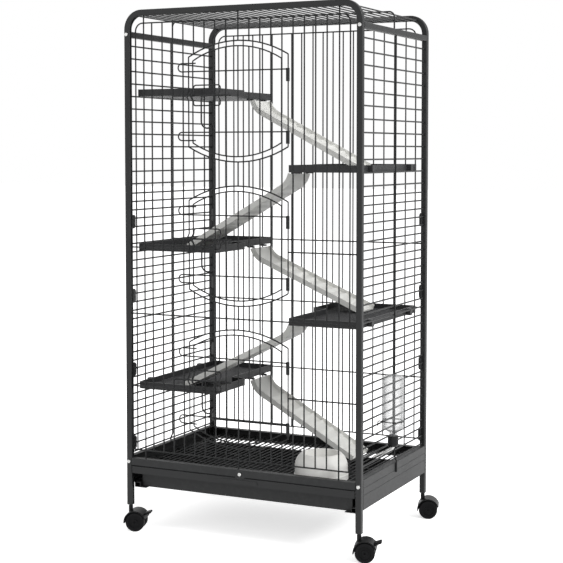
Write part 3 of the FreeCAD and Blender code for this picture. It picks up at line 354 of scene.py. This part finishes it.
# A line through the points with each corner rounded, as a list of short steps.
def rounded(points, bend, closed=False, steps=bendSteps):
    spots = [Vector(p) for p in points]
    count = len(spots)
    result = []
    for index, spot in enumerate(spots):
        if not closed and index in (0, count - 1):
            result.append(spot)
            continue
        back = spots[index - 1] - spot
        ahead = spots[(index + 1) % count] - spot
        backWay, aheadWay = back.normalized(), ahead.normalized()
        half = backWay.angle(aheadWay) / 2
        if half > straightHalf:
            result.append(spot)
            continue
        reach = min(bend / math.tan(half), back.length * bendShare, ahead.length * bendShare)
        radius = reach * math.tan(half)
        centre = spot + (backWay + aheadWay).normalized() * (radius / math.sin(half))
        start, end = spot + backWay * reach - centre, spot + aheadWay * reach - centre
        turn = start.angle(end)
        for step in range(steps + 1):
            share = step / steps
            arm = start * math.sin((1 - share) * turn) + end * math.sin(share * turn)
            result.append(centre + arm / math.sin(turn))
    return result


# One piece of round wires, in place of the nodes it names.
def wireSet(name, runs, radius, body, nodes, closedRuns=()):
    slotName = "wire_paint"
    data = bpy.data.curves.new(name, "CURVE")
    data.dimensions = "3D"
    data.bevel_depth = radius / perMetre
    data.bevel_resolution = bevelSteps
    data.use_fill_caps = True
    for points, closed in [(r, False) for r in runs] + [(r, True) for r in closedRuns]:
        spline = data.splines.new("POLY")
        spline.points.add(len(points) - 1)
        for spot, target in zip(points, spline.points):
            target.co = (*place(*spot), 1.0)
        spline.use_cyclic_u = closed
        spline.use_smooth = True
    thing = bpy.data.objects.new(name, data)
    bpy.context.scene.collection.objects.link(thing)
    data.materials.append(slots[slotName])
    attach(thing, body)
    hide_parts(*nodes)


def columns():
    left = [mesh["leftStart"] - mesh["leftPitch"] * k for k in range(mesh["count"])]
    right = [mesh["rightStart"] + mesh["rightPitch"] * k for k in range(mesh["count"])]
    return sorted(left + right)


# Places at one pitch on both sides of the middle.
def evenly(look):
    return [look["pitch"] * k for k in range(-look["half"], look["half"] + 1)]


def archRise(x, shape):
    reach = (shape["right"] - shape["left"]) / 2
    rise = shape["peak"] - shape["corner"]
    radius = (reach * reach + rise * rise) / (2 * rise)
    across = x - (shape["left"] + shape["right"]) / 2
    return shape["peak"] - radius + math.sqrt(max(radius * radius - across * across, 0.0))


def archLines(level, shape, y):
    span = shape["right"] - shape["left"]
    xs = [shape["left"] + span * k / archSteps for k in range(archSteps + 1)]
    return [[(x, y, level + way * archRise(x, shape)) for x in xs] for way in (-1, 1)]


# An upright wire with a bulge where the bolt passes.
def kinked(x, y, low, high, level, outX, outY):
    top, run = bolt["kinkHalf"], bolt["kinkRun"]
    points = [(x, y, low), (x, y, level - top - run), (x + outX, y + outY, level - top),
              (x + outX, y + outY, level + top), (x, y, level + top + run), (x, y, high)]
    return rounded(points, bolt["kinkBend"], steps=bolt["kinkSteps"])


# An upright of a panel, left out where it would cross a door's opening.
def spanCuts(x, y, low, high):
    edges = [low]
    if y < 0 and opening["left"] < x < opening["right"]:
        rise = archRise(x, opening)
        for level in sorted(door["levels"].values()):
            edges += [level - rise, level + rise]
    edges.append(high)
    return [[(x, y, a), (x, y, b)] for a, b in zip(edges[::2], edges[1::2])]


def panelRuns(y):
    reach, low = mesh["reach"], mesh["bottom"]
    runs = []
    for x in columns():
        runs += spanCuts(x, y, low, mesh["top"])
    for x in mesh["long"]:
        runs += spanCuts(x, y, mesh["railTop"], mesh["tubeLow"])
    loop = [(mesh["left"], y, low), (mesh["left"], y, mesh["top"]),
            (mesh["right"], y, mesh["top"]), (mesh["right"], y, low)]
    runs.append(rounded(loop, mesh["corner"], steps=mesh["cornerSteps"]))
    for z in (low, *mesh["levels"]):
        crossing = y < 0 and any(abs(z - c) < opening["corner"] for c in door["levels"].values())
        edges = (-reach, opening["left"], opening["right"], reach) if crossing else (-reach, reach)
        runs += [[(a, y, z), (b, y, z)] for a, b in zip(edges[::2], edges[1::2])]
    return runs


def openingRuns():
    arches, sides = [], []
    y = -mesh["plane"]
    for level in door["levels"].values():
        low, high = level - opening["corner"], level + opening["corner"]
        arches += archLines(level, opening, y)
        sides.append(kinked(opening["left"], y, low, high, level + bolt["rise"], -bolt["keeperOut"], 0.0))
        sides.append([(opening["right"], y, low), (opening["right"], y, high)])
    return arches, sides


def frontToBack(across, z, depth):
    return [(across, -depth, z), (across, depth, z)]


def buildMesh():
    r = wireLook["panel"]
    y = mesh["plane"]
    arches, sides = openingRuns()
    wireSet("frontMesh", panelRuns(-y) + arches, r, "frame", ["front_panel"])
    wireSet("openingWires", sides, wireLook["fine"], "frame", ["opening_wires"])
    wireSet("backMesh", panelRuns(y), r, "frame", ["back_panel"])
    levels = [side["upperStart"] + side["upperPitch"] * k for k in range(side["upperCount"])]
    levels += [side["lowerStart"] - side["lowerPitch"] * k for k in range(side["lowerCount"])]
    for name, way in (("left", -1), ("right", 1)):
        runs = [frontToBack(way * side["x"], z, side["depth"]) for z in levels]
        wireSet(name + "Mesh", runs, wireLook["side"], "frame", ["side_panel_" + name])
    runs = [frontToBack(x, roof["level"], roof["depth"]) for x in evenly(roof)]
    wireSet("roofMesh", runs, r, "frame", ["top_panel"])


# The wire over the roof's middle and the two stays that run down outside the sides.
def buildHoop():
    arch = [(-hoop["x"], 0, hoop["railTop"]), (-hoop["x"], 0, hoop["top"]),
            (hoop["x"], 0, hoop["top"]), (hoop["x"], 0, hoop["railTop"])]
    runs = [rounded(arch, hoop["corner"])]
    low, high = hoop["joggle"]
    for way in (-1, 1):
        stay = [(way * hoop["outside"], 0, hoop["end"]), (way * hoop["outside"], 0, low),
                (way * hoop["stay"], 0, high), (way * hoop["stay"], 0, hoop["railLow"])]
        runs.append(rounded(stay, hoop["joggleBend"]))
    wireSet("middleHoop", runs, hoop["radius"], "frame", ["middle_hoop"])


def buildGrid():
    z, front, edge = grid["level"], grid["front"], grid["edge"]
    runs = [frontToBack(x, z, front) for x in evenly(grid)]
    step = 2 * front / (grid["rows"] - 1)
    for k in range(grid["rows"]):
        runs.append([(-edge, step * k - front, z), (edge, step * k - front, z)])
    wireSet("floorMesh", runs, wireLook["panel"], "frame", ["floor_grid"])


def doorFrameRuns(level):
    y = -mesh["plane"]
    left, right = door["left"], door["right"]
    low, high = level - door["corner"], level + door["corner"]
    runs = [kinked(left, y, low, high, level + bolt["rise"], 0.0, -bolt["kinkOut"]),
            [(right, y, low), (right, y, high)]]
    runs += archLines(level, door, y)
    for x in columns() + [mesh["long"][1]]:
        if left + door["leftRoom"] < x < right - door["rightRoom"]:
            rise = archRise(x, door)
            runs.append([(x, y, level - rise), (x, y, level + rise)])
    return runs


def crossRun(level, way):
    z = level + way * door["cross"]
    tail = z + way * door["hookRise"]
    plane, hook = door["crossPlane"], door["hookX"]
    points = [(door["crossEnd"], plane, z), (hook, plane, z), (hook, plane, tail),
              (door["hookEnd"], plane, tail)]
    return rounded(points, door["hookBend"], steps=door["hookSteps"])


def guideLoop(level):
    catch = level + bolt["rise"]
    low, high = level + guide["low"], level + guide["high"]
    plane, top, run = door["crossPlane"], bolt["kinkHalf"], bolt["kinkRun"]
    bulge = plane - bolt["kinkOut"]
    loop = []
    for x, start, end, way in ((guide["left"], low, high, 1), (guide["right"], high, low, -1)):
        loop += [(x, plane, start), (x, plane, catch - way * (top + run)), (x, bulge, catch - way * top),
                 (x, bulge, catch + way * top), (x, plane, catch + way * (top + run)), (x, plane, end)]
    return rounded(loop, guide["corner"], True)


def boltRuns(level):
    catch, bottom = level + bolt["rise"], level - bolt["drop"]
    plane, front = bolt["plane"], bolt["front"]
    left, right = bolt["handle"]
    handle = [(left, plane, catch), (left, front, catch - bolt["step"]), (left, front, bottom),
              (right, front, bottom), (right, front, catch - bolt["step"]), (right, plane, catch)]
    return [rounded(handle, bolt["bend"], steps=bolt["bendSteps"]),
            [(bolt["left"], plane, catch), (bolt["right"], plane, catch)]]


def buildDoors():
    r = wireLook["door"]
    for name, level in door["levels"].items():
        body = "door_" + name
        wireSet(name + "DoorFrame", doorFrameRuns(level), r, body, [body + "_frame"])
        crosses = [crossRun(level, way) for way in (-1, 1)]
        wireSet(name + "DoorCrossWires", crosses, r, body, [body + "_cross_wires"])
        wireSet(name + "DoorGuide", [], r, body, [body + "_guide"], [guideLoop(level)])
        wireSet(name + "DoorBolt", boltRuns(level), bolt["radius"], body + "_bolt", [body + "_bolt"])


def buildHolder():
    x, y, level, ring, hook = (holder[key] for key in ("x", "y", "level", "ring", "hookX"))
    turns = (2 * math.pi * k / holder["ringSteps"] for k in range(holder["ringSteps"]))
    loop = [(x + ring * math.cos(a), y + ring * math.sin(a), level) for a in turns]
    start = x - math.sqrt(ring ** 2 - holder["arm"] ** 2)
    runs = []
    for way in (-1, 1):
        across = y + way * holder["arm"]
        runs.append(rounded([(start, across, level), (hook, across, level),
                             (hook, across, level - holder["drop"])], holder["bend"]))
    wireSet("bottleHolder", runs, holder["radius"], "frame", ["bottle_holder"], [loop])


# The pieces that keep the solid model's own shape get their material and softer edges.
def dressNodes():
    used = {n["node"]: n["material_slot"] for n in frame["record"]["subparts"]}
    for name, thing in frame["nodes"].items():
        if thing.hide_render:
            continue
        thing.data.materials.clear()
        thing.data.materials.append(slots[used[name]])
        for face in thing.data.polygons:
            face.use_smooth = True
        if name.startswith(("bottle_body", "bottle_spout", "frame_screws")):
            split = thing.modifiers.new("sharpEdges", "EDGE_SPLIT")
            split.split_angle = math.radians(softEdge["split"])
        else:
            bevel = thing.modifiers.new("softEdges", "BEVEL")
            bevel.width = softEdge["width"] / perMetre
            bevel.segments = softEdge["segments"]
            bevel.limit_method = "ANGLE"
            bevel.angle_limit = math.radians(softEdge["limit"])
            bevel.use_clamp_overlap = True
            bevel.harden_normals = True


def lamp(name, look):
    data = bpy.data.lights.new(name, "AREA")
    data.size = look["size"] / perMetre
    data.energy = look["power"]
    thing = bpy.data.objects.new(name, data)
    bpy.context.scene.collection.objects.link(thing)
    thing.location = place(*look["place"])
    way = place(*look["target"]) - thing.location
    thing.rotation_euler = way.to_track_quat("-Z", "Y").to_euler()


def buildStage():
    scene = bpy.context.scene
    reach = floorLook["reach"] / perMetre
    corners = [(-reach, -reach, 0), (reach, -reach, 0), (reach, reach, 0), (-reach, reach, 0)]
    data = bpy.data.meshes.new("floor")
    data.from_pydata(corners, [], [tuple(range(len(corners)))])
    floor = bpy.data.objects.new("floor", data)
    data.materials.append(floorMaterial("floorWhite", floorLook))
    scene.collection.objects.link(floor)
    scene.world = skyWorld(skyLook)
    lamp("keyLamp", keyLight)
    lamp("fillLamp", fillLight)
    scene.view_settings.view_transform = "Standard"
    scene.view_settings.look = "None"


def buildCamera(look):
    data = bpy.data.cameras.new("camera")
    data.sensor_width = look["sensor"]
    data.lens = look["focus"] / look["picture"] * data.sensor_width
    data.shift_x, data.shift_y = look["sideShift"], look["upShift"]
    data.clip_start, data.clip_end = look["near"], look["far"]
    thing = bpy.data.objects.new("camera", data)
    bpy.context.scene.collection.objects.link(thing)
    thing.location = place(*look["place"])
    yaw, pitch = look["yaw"], look["pitch"]
    ahead = Vector((math.sin(yaw) * math.cos(pitch), math.cos(yaw) * math.cos(pitch), -math.sin(pitch)))
    thing.rotation_euler = ahead.to_track_quat("-Z", "Y").to_euler()
    bpy.context.scene.camera = thing


buildMesh()
buildHoop()
buildGrid()
print("mesh made")
buildDoors()
buildHolder()
print("doors made")
dressNodes()
print("pieces dressed")
buildStage()
buildCamera(cameraLook)
print("stage made")
